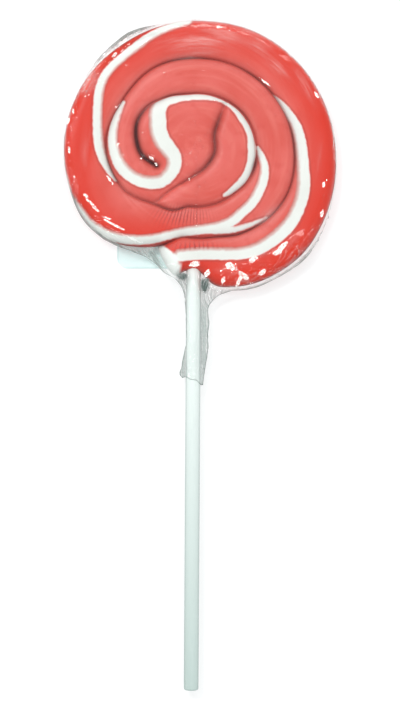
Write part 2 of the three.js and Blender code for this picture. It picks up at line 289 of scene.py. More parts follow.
def smooth_path(points, count):
    """Evenly many places on a smooth curve through points of any width."""
    points = np.array(points, float)
    steps = np.linalg.norm(np.diff(points[:, :2], axis=0), axis=1)
    length = np.concatenate(((0,), np.cumsum(steps)))
    slope = np.gradient(points, length, axis=0)
    places = np.linspace(0, length[-1], count)
    i = np.clip(np.searchsorted(length, places) - 1, 0, len(points) - 2)
    span = (length[i + 1] - length[i])[:, None]
    u = (places - length[i])[:, None] / span
    start = (1 + 2 * u) * (1 - u) ** 2 * points[i] + u * (1 - u) ** 2 * span * slope[i]
    return start + u**2 * (3 - 2 * u) * points[i + 1] + u**2 * (u - 1) * span * slope[i + 1]


def nearest(line, points):
    """Distance to a line of points, how far along it, and the side: 1 left, -1 right."""
    least = np.full(len(points), np.inf)
    along = np.zeros(len(points))
    side = np.ones(len(points))
    for i in range(len(line) - 1):
        step = line[i + 1, :2] - line[i, :2]
        offset = points - line[i, :2]
        share = np.clip(offset @ step / (step @ step), 0, 1)
        away = np.hypot(offset[:, 0] - share * step[0], offset[:, 1] - share * step[1])
        closer = away < least
        least = np.where(closer, away, least)
        along = np.where(closer, i + share, along)
        turn = step[0] * offset[:, 1] - step[1] * offset[:, 0]
        side = np.where(closer, np.where(turn >= 0, 1.0, -1.0), side)
    return least, along, side


edge_radius = smooth_curve(SPIRAL_EDGE)


def along_spiral(start, end, step):
    angles = np.linspace(start, end, round((end - start) / step) + 1)
    return on_circle(angles, edge_radius(angles))


OUTLINE = along_spiral(OUTER_END - 360, OUTER_END, 2)
OPEN_GROOVE = smooth_path(on_circle(*np.array(OPEN_TURN).T), 60)
GROOVE = np.vstack((along_spiral(OUTER_END, OPEN_TURN[0][0], 3), OPEN_GROOVE))
FOLD = smooth_path(FOLD_GROOVE, 60)


def shoulder(distance, radius):
    """A quarter of an ellipse: 0 at the edge, 1 once the distance reaches the radius."""
    left = 1 - np.clip(distance / radius, 0, 1)
    return np.sqrt(1 - left**2)


def bell(distance, width):
    return np.exp(-((distance / width) ** 2))


def patch(points, x, y, long, short, turn):
    """1 in the middle of an oval patch, falling softly to 0 outside it."""
    sine, cosine = math.sin(math.radians(turn)), math.cos(math.radians(turn))
    dx, dy = points[:, 0] - x, points[:, 1] - y
    return bell(np.hypot((dx * cosine + dy * sine) / long, (dy * cosine - dx * sine) / short), 0.9)


def inside_line(line, points):
    """True for places within a closed line, counted by crossings."""
    inside = np.zeros(len(points), bool)
    x, y = points.T
    closed = np.vstack((line, line[:1]))
    for (x1, y1), (x2, y2) in zip(closed[:-1], closed[1:]):
        if y1 == y2:
            continue
        crosses = (y1 > y) != (y2 > y)
        inside ^= crosses & (x < (x2 - x1) * (y - y1) / (y2 - y1) + x1)
    return inside


def hollows(points):
    """How far each place is from a groove, how deep the open valleys are, and its painted groove
    shade.
    """
    to_groove, _, _ = nearest(GROOVE, points)
    to_fold, fold_along, _ = nearest(FOLD, points)
    to_open, open_along, _ = nearest(OPEN_GROOVE, points)
    fold_share = smooth_step(8, 34, fold_along) * (1 - smooth_step(46, 59, fold_along))
    open_share = smooth_step(0, 40, open_along)
    valley = bell(to_open, OPEN_WIDTH) * open_share + bell(to_fold, 0.9) * fold_share * 0.8
    wave = 0.65 + 0.35 * np.sin(0.27 * points[:, 0] - 0.19 * points[:, 1] + 0.6)
    # Painted shade: lines along the grooves and broader shade beside them
    dark = 0.4 * wave * bell(to_groove, 0.4) + 0.17 * bell(to_groove, 1.3)
    dark += 0.75 * bell(to_open, 0.85) * open_share
    dark += 0.3 * bell(to_fold, 0.3) * (1 - smooth_step(50, 59, fold_along))
    dark += 0.5 * bell(to_fold, 1.15) * fold_share
    dark += sum(spot[5] * patch(points, *spot[:5]) for spot in PAINTED_CORNER_SHADE)
    return np.minimum(to_groove, to_fold), valley, np.clip(dark, 0, 1)


def unevenness(points):
    """Slow rises and dips of a hand-pulled rope, from 0 to 1."""
    x, y = points.T
    waves = np.sin(0.21 * x + 1.3 * np.sin(0.13 * y)) * np.cos(0.17 * y - 0.8)
    return 0.5 + 0.3 * waves + 0.2 * np.sin(0.43 * x - 0.31 * y + 2)


candy_box = np.array(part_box("candy")) / MM
MID_HEIGHT = (candy_box[0, 2] + candy_box[1, 2]) / 2
outline_middle = (OUTLINE.min(axis=0) + OUTLINE.max(axis=0)) / 2
plan_middle = (candy_box[0, :2] + candy_box[1, :2]) / 2
SWIRL_PLACE = np.array((*(plan_middle - outline_middle), MID_HEIGHT))


class Number:
    """A value in a node tree, so that sums on it are written as Python."""

    def __init__(self, board, socket):
        self.board = board
        self.socket = socket

    def math(self, operation, *others):
        inputs = dict(enumerate((self, *others)))
        return self.board.add("ShaderNodeMath", {"operation": operation}, inputs)

    def __add__(self, other):
        return self.math("ADD", other)

    __radd__ = __add__

    def __mul__(self, other):
        return self.math("MULTIPLY", other)

    __rmul__ = __mul__

    def __sub__(self, other):
        return self.math("SUBTRACT", other)

    def __rsub__(self, other):
        return (self * -1) + other

    def __truediv__(self, other):
        return self.math("DIVIDE", other)

    def __pow__(self, other):
        return self.math("POWER", other)

    def clamped(self):
        return self.math("MINIMUM", 1.0).math("MAXIMUM", 0.0)

    def step(self, low, high):
        settings = {"interpolation_type": "SMOOTHSTEP"}
        return self.board.add("ShaderNodeMapRange", settings, {0: self, 1: low, 2: high})


class Board:
    """A node tree that nodes are added to."""

    def __init__(self, tree):
        self.tree = tree

    def add(self, kind, settings=None, inputs=None, output=0):
        node = self.tree.nodes.new(kind)
        for key, value in (settings or {}).items():
            setattr(node, key, value)
        for key, value in (inputs or {}).items():
            if isinstance(value, Number):
                self.tree.links.new(value.socket, node.inputs[key])
            else:
                node.inputs[key].default_value = value
        return Number(self, node.outputs[output])

    def vector(self, x, y, z=0.0):
        return self.add("ShaderNodeCombineXYZ", None, {0: x, 1: y, 2: z})


class Recipe(Board):
    """A Geometry Nodes tree with named sizes."""

    def __init__(self, name, **sizes):
        super().__init__(bpy.data.node_groups.new(name, "GeometryNodeTree"))
        face = self.tree.interface
        face.new_socket("Geometry", in_out="INPUT", socket_type="NodeSocketGeometry")
        face.new_socket("Geometry", in_out="OUTPUT", socket_type="NodeSocketGeometry")
        self.sizes = sizes
        for size in sizes:
            face.new_socket(size, in_out="INPUT", socket_type="NodeSocketFloat")
        self.start = self.tree.nodes.new("NodeGroupInput")

    def given(self, name):
        return Number(self, self.start.outputs[name])

    def field(self, name):
        inputs = {"Name": name}
        return self.add("GeometryNodeInputNamedAttribute", {"data_type": "FLOAT"}, inputs)

    def serve(self, geometry, material, piece):
        """Ends the tree, runs it on a piece, and leaves the piece as a plain mesh."""
        smooth = self.add("GeometryNodeSetShadeSmooth", None, {"Geometry": geometry})
        real = self.add("GeometryNodeRealizeInstances", None, {"Geometry": smooth})
        done = self.add("GeometryNodeSetMaterial", None, {"Geometry": real, "Material": material})
        end = self.tree.nodes.new("NodeGroupOutput")
        self.tree.links.new(done.socket, end.inputs[0])

        run = piece.modifiers.new(self.tree.name, "NODES")
        run.node_group = self.tree
        for item in self.tree.interface.items_tree:
            if item.in_out == "INPUT" and item.name in self.sizes:
                run[item.identifier] = float(self.sizes[item.name])
        ready = bpy.context.evaluated_depsgraph_get()
        mesh = bpy.data.meshes.new_from_object(
            piece.evaluated_get(ready), preserve_all_data_layers=True, depsgraph=ready
        )
        piece.modifiers.clear()
        piece.data = mesh
        return piece


class Finish(Board):
    """A material."""

    def __init__(self, name):
        self.material = bpy.data.materials.new(name)
        self.material.use_nodes = True
        super().__init__(self.material.node_tree)
        self.tree.nodes.clear()

    def attribute(self, name):
        return self.add("ShaderNodeAttribute", {"attribute_name": name}, output="Fac")

    def place(self, scale=(1, 1, 1)):
        """The piece's own coordinates in millimetres, stretched by a scale."""
        here = self.add("ShaderNodeTexCoord", output="Object")
        factor = tuple(share / MM for share in scale)
        return self.add("ShaderNodeVectorMath", {"operation": "MULTIPLY"}, {0: here, 1: factor})

    def noise(self, where, scale, detail=2.0, roughness=0.5, distortion=0.0):
        inputs = {"Vector": where, "Scale": scale, "Detail": detail, "Roughness": roughness}
        return self.add("ShaderNodeTexNoise", None, {**inputs, "Distortion": distortion})

    def facets(self, where, scale):
        return self.add("ShaderNodeTexVoronoi", None, {"Vector": where, "Scale": scale})

    def mix(self, share, first, second):
        inputs = {0: share, 6: first, 7: second}
        return self.add("ShaderNodeMix", {"data_type": "RGBA"}, inputs, output=2)

    def bump(self, height, strength, distance, normal=None):
        inputs = {"Height": height, "Strength": strength, "Distance": distance}
        if normal is not None:
            inputs["Normal"] = normal
        return self.add("ShaderNodeBump", None, inputs)

    def done(self, inputs):
        surface = self.add("ShaderNodeBsdfPrincipled", None, inputs)
        output = self.tree.nodes.new("ShaderNodeOutputMaterial")
        self.tree.links.new(surface.socket, output.inputs["Surface"])
        return self.material


def colour(red, green, blue):
    """A colour as seen on a screen, from 0 to 255, as light."""
    seen = (c / 255 for c in (red, green, blue))
    return (*(c / 12.92 if c <= 0.04 else ((c + 0.055) / 1.055) ** 2.4 for c in seen), 1.0)


def red_sugar(sugar, where, clouds, pulled):
    """The rope's red: paler where it was pulled, deeper in blotches and round the rim, with painted
    shade at its edge.
    """
    blotches = sugar.noise(where, 0.35, 3.0, 0.6)
    red = sugar.mix(clouds.step(0.3, 0.75), colour(219, 85, 73), colour(228, 103, 94))
    red = sugar.mix(pulled.step(0.42, 0.8) * 0.45, red, colour(238, 132, 120))
    red = sugar.mix(blotches.step(0.55, 0.75) * 0.3, red, colour(210, 62, 48))
    at_rim = sugar.attribute("rim") * (0.7 + clouds * 0.6).clamped()
    red = sugar.mix(at_rim, red, colour(221, 45, 17))
    # Painted shade: a dark red line along the candy's very edge
    return sugar.mix(sugar.attribute("rim_edge_shade") * 0.75, red, colour(136, 34, 26))


def boiled_sugar():
    sugar = Finish("boiled sugar")
    where = sugar.place()
    along, across = sugar.attribute("along"), sugar.attribute("across")
    stripe, soft = sugar.attribute("stripe"), sugar.attribute("soft")
    pulled = sugar.noise(sugar.vector(along * 0.04, across * 0.55), 1.0, 4.0, 0.6)
    clouds = sugar.noise(where, 0.09, 3.0)
    red = red_sugar(sugar, where, clouds, pulled)

    wander = (sugar.noise(where, 0.8, 4.0, 0.6) - 0.5) * 0.6
    white = ((stripe + wander) / soft).step(-1.0, 1.0)
    veins = sugar.noise(sugar.vector(along * 0.12, across * 2.6), 1.0, 3.0, 0.6)
    cream = sugar.mix(clouds, colour(228, 231, 224), colour(245, 248, 243))
    cream = sugar.mix(veins.step(0.58, 0.8) * 0.3, cream, colour(226, 200, 190))
    # Painted shade: a thin darker red line along each stripe's outer edge
    stripe_edge_shade = (1 - ((stripe + 0.4) / 0.4).math("ABSOLUTE")).clamped()
    red = sugar.mix(stripe_edge_shade * 0.5, red, colour(170, 50, 44))
    shade = sugar.mix(white, red, cream)
    halfway = (white * (1 - white) * 4).clamped() * (soft - 0.3).clamped()
    shade = sugar.mix(halfway * 0.6, shade, colour(184, 140, 128))
    end_white = sugar.mix(clouds, colour(240, 247, 241), colour(250, 254, 249))
    shade = sugar.mix(sugar.attribute("end_face"), shade, end_white)

    wobble = sugar.noise(sugar.vector(along * 0.5, across * 0.3), 1.0, 2.0, 0.6)
    hairs = (along * 5.6 + wobble * 5).math("SINE")
    ribs = hairs.step(-0.1, 0.85) * sugar.attribute("ribs") * (1 - white)
    shade = sugar.mix(ribs * 0.85, shade, colour(170, 46, 44))
    # Painted shade: darker red in the grooves, open valleys and corners
    shade = sugar.mix(sugar.attribute("groove_shade"), shade, colour(96, 34, 34))

    fine = sugar.noise(where, 2.6, 3.0)
    return sugar.done({
        "Base Color": shade,
        "Roughness": 0.3 + fine * 0.16,
        "Normal": sugar.bump(pulled * 0.6 + ribs * 0.3 + fine * 0.2, 0.35, 0.0003),
        "Specular IOR Level": 0.3,
    })


def rolled_paper():
    paper = Finish("rolled paper")
    fibres = paper.noise(paper.place((1, 0.1, 1)), 1.5, 4.0, 0.6)
    broad = paper.noise(paper.place(), 0.05, 2.0)
    shade = paper.mix(paper.attribute("down"), colour(246, 254, 250), colour(195, 213, 207))
    shade = paper.mix(fibres.step(0.45, 0.8) * 0.3, shade, colour(214, 228, 223))
    shade = paper.mix(broad.step(0.5, 0.8) * 0.15, shade, colour(206, 222, 216))
    # Painted shade: the stick's lower half is darker, as if shaded towards the table
    level = paper.add("ShaderNodeSeparateXYZ", None, {0: paper.place()}, output=2)
    unshaded_top = ((level - MID_HEIGHT) / STICK_RADIUS).step(0.0, 0.8)
    shade = paper.mix((1 - unshaded_top) * 0.8, shade, colour(150, 168, 163))
    return paper.done({
        "Base Color": shade,
        "Roughness": 0.42 + fibres * 0.2,
        "Normal": paper.bump(fibres, 0.2, 0.0001),
    })


def smooth_panel():
    panel = Finish("smooth panel")
    grain = panel.noise(panel.place(), 2.4, 3.0)
    shade = panel.mix(grain, colour(230, 251, 249), colour(238, 255, 254))
    low, high = np.array(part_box("label")) / MM
    sides = []
    for axis in (0, 1):
        here = panel.add("ShaderNodeSeparateXYZ", None, {0: panel.place()}, output=axis)
        away = (here - (low[axis] + high[axis]) / 2).math("ABSOLUTE")
        sides.append((away - (high[axis] - low[axis]) / 2).step(-LABEL_BORDER, 0.0))
    border = sides[0].math("MAXIMUM", sides[1])
    shade = panel.mix(border * 0.6, shade, colour(186, 210, 206))
    return panel.done({
        "Base Color": shade,
        # Painted light: the label gives off faint light, which lifts it out of the candy's shadow
        "Emission Color": colour(215, 251, 249),
        "Emission Strength": 0.12,
        "Roughness": 0.4 + grain * 0.15,
        "Normal": panel.bump(grain, 0.1, 0.00005),
    })


def film_relief(film, where, pleats, crushed, dents, slack, crumpled):
    """The film's bumps: slow pulls, then crumples, then pleats."""
    waves = film.noise(where, 0.11, 3.0, 0.5, 0.6)
    pull = film.bump(waves, 0.5, 0.0016)
    crush = film.bump((crushed + dents * 0.5) * (0.03 + crumpled), 1.0, 0.003, pull)
    return film.bump(pleats * (0.04 + slack * 0.96), 0.8, 0.0012, crush)


def thin_line(pattern, level, sharpness):
    """1 where a pattern crosses a level, falling to 0 beside it."""
    return 1 - ((pattern - level).math("ABSOLUTE") * sharpness).clamped()


def clear_film():
    film = Finish("clear film")
    where = film.place()
    level = film.add("ShaderNodeSeparateXYZ", None, {0: where}, output=2)
    slack, fin, crumpled = (film.attribute(n) for n in ("slack", "fin", "crumpled"))
    painted_sheen, lip_shade, hem_shade, pocket_shade = (film.attribute(n) for n in ("painted_sheen", "lip_shade", "hem_shade", "pocket_shade"))
    gather, reach = film.attribute("gather"), film.attribute("reach")
    around, outward = film.attribute("around"), film.attribute("outward")

    def along_rim(share_around, share_out):
        return film.vector(around * share_around, outward * share_out, level * share_out)

    fray = film.noise(where, 1.1, 4.0, 0.7)
    pleats = film.noise(film.vector(gather, reach * 0.07), 1.0, 4.0, 0.62, 0.5)
    crushed = film.noise(along_rim(0.13, 0.3), 1.0, 3.0, 0.55, 1.2)
    dents = film.facets(along_rim(0.16, 0.34), 1.0)
    streaks = film.noise(along_rim(0.07, 0.8), 1.0, 3.0, 0.6)
    specks = film.facets(where, 2.1)
    flecks = film.noise(where, 2.4, 2.0, 0.6).step(0.36, 0.62)
    normal = film_relief(film, where, pleats, crushed, dents, slack, crumpled)

    # Painted shade: dark pockets in the film beside the stick, broken up by its folds
    pocket_shade = (pocket_shade + (fray + pleats - 1) * pocket_shade * 1.6).step(0.28, 0.75)
    hem_shade = hem_shade * (0.3 + streaks.step(0.3, 0.62) * 0.7)
    # Painted shade and highlights: dark and white lines along the pleats, white lines along the
    # crumples
    pleat_shade = thin_line(pleats, 0.5, 18) * slack
    pale = thin_line(pleats, 0.6, 22) * slack
    crease = thin_line(crushed, 0.52, 40) * crumpled.step(0.35, 0.9)
    # Painted glints: white highlight shapes with ragged edges
    painted_glint = film.attribute("painted_glint") + (fray - 0.5) * 1.3
    painted_spark = painted_glint.step(0.45, 0.62) * (0.4 + flecks * 0.6)
    # Painted sheen: pale reflection bands, broken into streaks
    sheen_glow = painted_sheen * streaks.step(0.22, 0.78)
    # Painted highlights: sheens and glints together
    painted_highlight = (sheen_glow + painted_spark).clamped()
    limp = (slack * crumpled).clamped()

    haze = slack * 0.03 + pleat_shade * 0.3 + pale * 0.35 + fin * 0.22 + crease * 0.2 + limp * 0.36
    haze = (haze + sheen_glow * 0.36 + pocket_shade * 0.6 + lip_shade * 0.4 + hem_shade * 0.6 + painted_spark * 0.85).clamped()
    inputs = {"Blend": 0.5, "Normal": normal}
    glance = film.add("ShaderNodeLayerWeight", None, inputs, output="Facing")
    shine = 0.04 + glance**5 * 0.96

    # Painted shade: dark lines along the pleats
    milk = film.mix(pleat_shade, colour(232, 239, 236), colour(150, 163, 159))
    milk = film.mix(specks.step(0.1, 0.32) * fin, milk, colour(200, 212, 208))
    milk = film.mix(limp, milk, colour(158, 168, 158))
    # Painted highlights: white lines along the pleats and crumples
    milk = film.mix((pale + crease).clamped(), milk, colour(252, 252, 250))
    # Painted shade in the hollows beside the stick and at the sleeve's end
    milk = film.mix((pocket_shade * (1 - pale) + lip_shade * 0.7).clamped(), milk, colour(106, 122, 117))
    # Painted shade along the film's edges
    milk = film.mix(hem_shade, milk, colour(100, 110, 104))
    milk = film.mix(painted_highlight, milk, colour(255, 246, 241))
    return film.done({
        "Base Color": milk,
        "Metallic": (1 - haze * 4).clamped(),
        "Roughness": 0.07 + haze * 0.35,
        "Specular IOR Level": 0.05,
        # Painted light: the painted sheens and glints give off light
        "Emission Color": film.mix(painted_highlight, colour(0, 0, 0), colour(255, 236, 228)),
        "Emission Strength": 0.8,
        "Alpha": (shine * (1.3 - crumpled * 0.8) + haze).clamped(),
        "Normal": normal,
    })


def pale_floor():
    floor = Finish("pale floor")
    grain = floor.noise(floor.place(), 0.02, 2.0)
    shade = floor.mix(grain, colour(174, 175, 175), colour(178, 178, 178))
    return floor.done({
        "Base Color": shade,
        "Roughness": 0.9,
        "Emission Color": shade,
        "Emission Strength": 1.45,
    })


def link_piece(name, mesh):
    piece = bpy.data.objects.new(name, mesh)
    bpy.context.scene.collection.objects.link(piece)
    return piece


def make_mesh(name, points, faces, values=None):
    """A mesh from millimetre points round the swirl's middle, with values on its points."""
    mesh = bpy.data.meshes.new(name)
    mesh.from_pydata(((points + SWIRL_PLACE) * MM).tolist(), [], [list(map(int, f)) for f in faces])
    for key, numbers in (values or {}).items():
        layer = mesh.attributes.new(key, "FLOAT", "POINT")
        layer.data.foreach_set("value", np.asarray(numbers, np.float32))
    mesh.polygons.foreach_set("use_smooth", [True] * len(mesh.polygons))
    mesh.update()
    return mesh


def settle(piece, node):
    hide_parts(node)
    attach(piece, "root")
    return piece


def candy_lattice():
    """Places on the candy in plan, their faces, the rim's places, and each place's angle."""
    turn = round(360 / STEP_DEGREES)
    count = round((INNER_END - OUTER_END) / STEP_DEGREES)
    shares = 0.5 - 0.5 * np.cos(np.pi * np.arange(STEPS_ACROSS + 1) / STEPS_ACROSS)
    places = [on_circle(OUTER_END, edge_radius(OUTER_END))]
    angles = [OUTER_END]
    rim = [0]
    grid = np.zeros((count + 1, STEPS_ACROSS + 1), int)
    for i in range(1, count + 1):
        angle = OUTER_END + i * STEP_DEGREES
        inner, outer = edge_radius(angle), edge_radius(angle - 360)
        for j, share in enumerate(shares):
            if j == STEPS_ACROSS and i >= turn:
                grid[i, j] = grid[i - turn, 0]
                continue
            if j == STEPS_ACROSS:
                rim.append(len(places))
            grid[i, j] = len(places)
            places.append(on_circle(angle, inner + (outer - inner) * share))
            angles.append(angle)
    faces = []
    for i in range(1, count + 1):
        for j in range(1, STEPS_ACROSS + 1):
            corners = [grid[i - 1, j - 1], grid[i - 1, j], grid[i, j], grid[i, j - 1]]
            faces.append(corners if i > 1 else corners[1:])

    ring = list(grid[count - turn : count, 0]) + list(grid[count, :STEPS_ACROSS])
    fill_core(places, angles, faces, ring)
    return np.array(places), faces, np.array(rim), np.array(angles, float)


def fill_core(places, angles, faces, ring):
    """Adds rings of places and faces from the innermost turn in to the core's middle."""
    edge = np.array([places[k] for k in ring])
    for k in range(1, CORE_RINGS):
        inner = list(range(len(places), len(places) + len(ring)))
        places.extend(edge + (CORE_MIDDLE - edge) * k / CORE_RINGS)
        angles.extend([INNER_END + k] * len(ring))
        for j in range(len(ring)):
            after = (j + 1) % len(ring)
            faces.append([ring[j], ring[after], inner[after], inner[j]])
        ring = inner
    places.append(CORE_MIDDLE)
    angles.append(INNER_END + CORE_RINGS)
    faces.extend([ring[j], ring[(j + 1) % len(ring)], len(places) - 1] for j in range(len(ring)))


def both_sides(places, faces, rim):
    """A closed body's places and faces from one sheet, with its side: 1 face, 0 rim, -1 back."""
    is_rim = np.zeros(len(places), bool)
    is_rim[rim] = True
    below = np.arange(len(places))
    below[~is_rim] = len(places) + np.arange(np.count_nonzero(~is_rim))
    source = np.concatenate((np.arange(len(places)), np.flatnonzero(~is_rim)))
    side = np.where(is_rim[source], 0.0, 1.0)
    side[len(places) :] = -1
    back = [[below[corner] for corner in reversed(face)] for face in faces]
    return source, side, faces + back


def stripe_field(places, angles, stripes):
    """How far inside a white stripe each place is, and how soft the stripe's edge is there."""
    inside = np.full(len(places), -5.0)
    soft = np.full(len(places), 0.3)
    for (first, last), knots in stripes:
        line = smooth_path(knots, 160)
        near = (angles > first - 12) & (angles < last + 12)
        away, along, side = nearest(line, places[near])
        depth = np.interp(along, np.arange(len(line)), line[:, 2]) - away
        better = depth > inside[near]
        inside[near] = np.where(better, depth, inside[near])
        blurred = np.minimum(0.05 + 0.5 * (depth + away), SOFTEST_EDGE)
        edge = np.where(side > 0, np.maximum(blurred, 0.3), SHARP_EDGE)
        soft[near] = np.where(better, edge, soft[near])
    return inside, soft


def back_stripes():
    """The same stripes where they come round on the back, turned on round the swirl."""
    turned = []
    for (first, last), knots in STRIPES:
        knots = np.array(knots)
        in_core = first >= CORE_START
        angle = math.radians(CORE_BACK_TURN if in_core else BACK_TURN)
        spin = np.array(((math.cos(angle), math.sin(angle)), (-math.sin(angle), math.cos(angle))))
        knots[:, :2] = knots[:, :2] @ spin * BACK_SHARE
        shift = 0 if in_core else BACK_TURN
        turned.append(((first + shift, last + shift), knots))
    return turned


def quarter(distance, radius):
    """The shoulder's curve, in nodes."""
    left = 1 - (distance / radius).clamped()
    return (1 - left * left).math("SQRT")


def candy_recipe():
    """Gives the flat lattice its thickness: a round crown between grooves, and a round rim."""
    recipe = Recipe("candy thickness", **{
        "Thickness": CANDY_THICKNESS,
        "Groove depth": GROOVE_DEPTH,
        "Groove shoulder": GROOVE_SHOULDER,
        "Crease depth": CREASE_DEPTH,
        "Crease width": CREASE_WIDTH,
        "Valley depth": OPEN_DEPTH,
        "Rim round": RIM_ROUND,
        "Unevenness": UNEVENNESS,
        "Middle height": MID_HEIGHT,
    })
    groove = recipe.field("groove")
    sunk = recipe.given("Groove depth") * (1 - quarter(groove, recipe.given("Groove shoulder")))
    narrow = groove / recipe.given("Crease width")
    sunk = sunk + recipe.given("Crease depth") * (narrow * narrow * -1).math("EXPONENT")
    sunk = sunk + recipe.given("Valley depth") * recipe.field("valley")
    sunk = sunk + recipe.given("Unevenness") * recipe.field("wave")
    rim = quarter(recipe.field("to_rim"), recipe.given("Rim round"))
    half = (recipe.given("Thickness") / 2 - sunk) * rim
    height = (recipe.given("Middle height") + half * recipe.field("side")) * MM
    here = recipe.add("GeometryNodeInputPosition")
    flat = recipe.tree.nodes.new("ShaderNodeSeparateXYZ")
    recipe.tree.links.new(here.socket, flat.inputs[0])
    place = recipe.vector(Number(recipe, flat.outputs[0]), Number(recipe, flat.outputs[1]), height)
    inputs = {"Geometry": recipe.given("Geometry"), "Position": place}
    return recipe, recipe.add("GeometryNodeSetPosition", None, inputs)


def make_candy(material):
    places, faces, rim, angles = candy_lattice()
    source, side, all_faces = both_sides(places, faces, rim)
    groove, valley, groove_shade = hollows(places)
    to_rim, _, _ = nearest(OUTLINE, places)
    radius = np.hypot(*places.T)
    in_core = np.degrees(np.arctan2(places[:, 1], places[:, 0])) + 540
    turned = np.where(angles > INNER_END, in_core, angles)

    front, front_soft = stripe_field(places, angles, STRIPES)
    back, back_soft = stripe_field(places, angles, back_stripes())
    to_end, _, end_side = nearest(np.array(END_FACE), places)
    end_face = smooth_step(-0.25, 0.25, -to_end * end_side) * (angles < END_FACE_UNTIL)
    ribs = sum(patch(places, *spot, 0) for spot in RIBBED)
    on_back = side < 0
    values = {
        "along": (np.radians(turned) * MIDDLE_TURN_RADIUS)[source],
        "across": radius[source],
        "groove": groove[source],
        "valley": valley[source],
        "groove_shade": groove_shade[source],
        "to_rim": to_rim[source],
        "side": side,
        "wave": unevenness(places)[source],
        "rim": (1 - smooth_step(2.5, 13, to_rim) + patch(places, *DEEPER_RED))[source],
        "rim_edge_shade": (1 - smooth_step(0.0, 0.6, to_rim))[source],
        "stripe": np.where(on_back, back[source], front[source]),
        "soft": np.where(on_back, back_soft[source], front_soft[source]),
        "end_face": end_face[source],
        "ribs": np.clip(ribs, 0, 1)[source],
    }
    flat = np.column_stack((places[source], np.zeros(len(source))))
    piece = link_piece("candy_swirl", make_mesh("candy_swirl", flat, all_faces, values))
    recipe, shaped = candy_recipe()
    return settle(recipe.serve(shaped, material, piece), "candy")


def stick_middle(y):
    """The stick's middle line, left to right, at a place along it."""
    return STICK_TOP[0] - (STICK_TOP[1] - y) * math.tan(-STICK_LEAN)


def make_stick(material):
    """A rod along the stick's line, drawn in at both ends by a quarter circle."""
    near_end = STICK_END_ROUND * (1 - np.cos(np.linspace(0, np.pi / 2, 8)))
    run = np.linspace(STICK_END_ROUND, STICK_LENGTH - STICK_END_ROUND, 60)[1:-1]
    down = np.concatenate((near_end, run, STICK_LENGTH - near_end[::-1]))
    lean = np.array((math.sin(STICK_LEAN), -math.cos(STICK_LEAN)))
    line = np.column_stack((STICK_TOP + down[:, None] * lean, np.zeros(len(down))))
    mesh = make_mesh("stick_rod", line, [], {"down": np.clip((down - 40) / 110, 0, 1)})
    mesh.edges.add(len(down) - 1)
    mesh.edges.foreach_set("vertices", [k for i in range(len(down) - 1) for k in (i, i + 1)])
    piece = link_piece("stick_rod", mesh)

    recipe = Recipe("stick rod", **{
        "Length": STICK_LENGTH * MM,
        "Radius": STICK_RADIUS * MM,
        "End round": STICK_END_ROUND * MM,
    })
    line = recipe.add("GeometryNodeMeshToCurve", None, {"Mesh": recipe.given("Geometry")})
    gone = recipe.add("GeometryNodeSplineParameter", output="Length")
    to_end = gone.math("MINIMUM", recipe.given("Length") - gone)
    drawn_in = recipe.given("End round") * (1 - quarter(to_end, recipe.given("End round")))
    ring = recipe.add("GeometryNodeCurvePrimitiveCircle", None, {"Resolution": 64, "Radius": 1.0})
    inputs = {"Curve": line, "Profile Curve": ring, "Fill Caps": True}
    inputs["Scale"] = recipe.given("Radius") - drawn_in
    tube = recipe.add("GeometryNodeCurveToMesh", None, inputs)
    recipe.serve(tube, material, piece)
    face_outward(piece.data)
    return settle(piece, "stick")


def face_outward(mesh):
    body = bmesh.new()
    body.from_mesh(mesh)
    bmesh.ops.recalc_face_normals(body, faces=body.faces)
    body.to_mesh(mesh)
    body.free()


def make_label(material):
    low, high = np.array(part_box("label")) / MM - SWIRL_PLACE
    middle, size = (low + high) / 2, (high - low) / 2
    corners = []
    for quarter, (sx, sy) in enumerate(((1, 1), (-1, 1), (-1, -1), (1, -1))):
        centre = np.array((sx * (size[0] - LABEL_CORNER), sy * (size[1] - LABEL_CORNER)))
        angles = np.linspace(quarter * 90, quarter * 90 + 90, 9)
        corners.append(centre + on_circle(angles, LABEL_CORNER))
    edge = np.vstack(corners)
    drawn_in = edge * (1 - LABEL_BEVEL / size[:2])
    levels = (
        (drawn_in, low[2]), (edge, low[2] + LABEL_BEVEL), (edge, high[2] - LABEL_BEVEL),
        (drawn_in, high[2]),
    )
    points = np.vstack([
        np.column_stack((ring + middle[:2], np.full(len(ring), z))) for ring, z in levels
    ])
    n = len(edge)
    faces = [list(reversed(range(n))), list(range(3 * n, 4 * n))]
    for level in range(3):
        a, b = level * n, (level + 1) * n
        faces += [(a + k, a + (k + 1) % n, b + (k + 1) % n, b + k) for k in range(n)]
    mesh = make_mesh("label_panel", points, faces)
    mesh.polygons.foreach_set("use_smooth", [False] * len(mesh.polygons))
    mesh.materials.append(material)
    return settle(link_piece("label_panel", mesh), "label")


def film_edges():
    """The film's left and right edge at each row, from the candy's top to the sleeve's end."""
    radius = smooth_curve(FILM_ROUND)
    left_angles = np.arange(90, 225, 1.0)
    right_angles = np.arange(90, -77, -1.0)
    left = np.vstack((on_circle(left_angles, radius(left_angles)), smooth_path(FILM_LEFT, 160)))
    right = np.vstack((on_circle(right_angles, radius(right_angles)), smooth_path(FILM_RIGHT, 120)))
    heights = np.linspace(left[0, 1], FILM_LEFT[-1][1], 4000)
    left_x = np.interp(-heights, np.maximum.accumulate(-left[:, 1]), left[:, 0])
    right_x = np.interp(-heights, np.maximum.accumulate(-right[:, 1]), right[:, 0])
    sideways = np.maximum(np.abs(np.diff(left_x)), np.abs(np.diff(right_x)))
    travel = np.concatenate(((0,), np.cumsum(np.hypot(np.abs(np.diff(heights)), 0.6 * sideways))))
    rows = np.interp(np.linspace(0, travel[-1], FILM_ROWS + 1), travel, heights)
    return rows, np.interp(-rows, -heights, left_x), np.interp(-rows, -heights, right_x)


